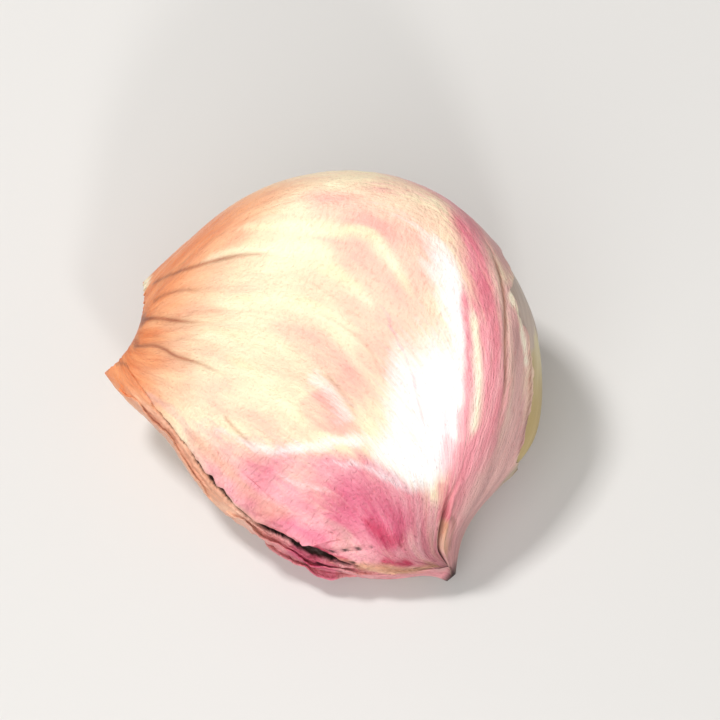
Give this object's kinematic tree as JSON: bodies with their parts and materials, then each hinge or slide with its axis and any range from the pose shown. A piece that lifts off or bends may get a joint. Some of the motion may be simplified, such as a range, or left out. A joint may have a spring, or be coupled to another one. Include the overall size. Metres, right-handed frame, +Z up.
{
  "type": "garlic clove",
  "caption": "Plump garlic clove in a papery skin torn on its outer side, lying on one flank, with a dished root scar and a dried, folded tip.",
  "frame": {"origin": "centre of the bounding box, at the level of the flat spot the clove rests on", "axes": "+Z up, +X along the clove's longest reach, from the root end towards the torn outer side; the tip points towards +X and -Y"},
  "size_m": [0.0305, 0.0264, 0.0191],
  "materials": {
    "dry_skin": "satin",
    "firm_flesh": "satin"
  },
  "bodies": {
    "root": {"papery_skin": "dry_skin", "clove_flesh": "firm_flesh"}
  },
  "joints": []
}
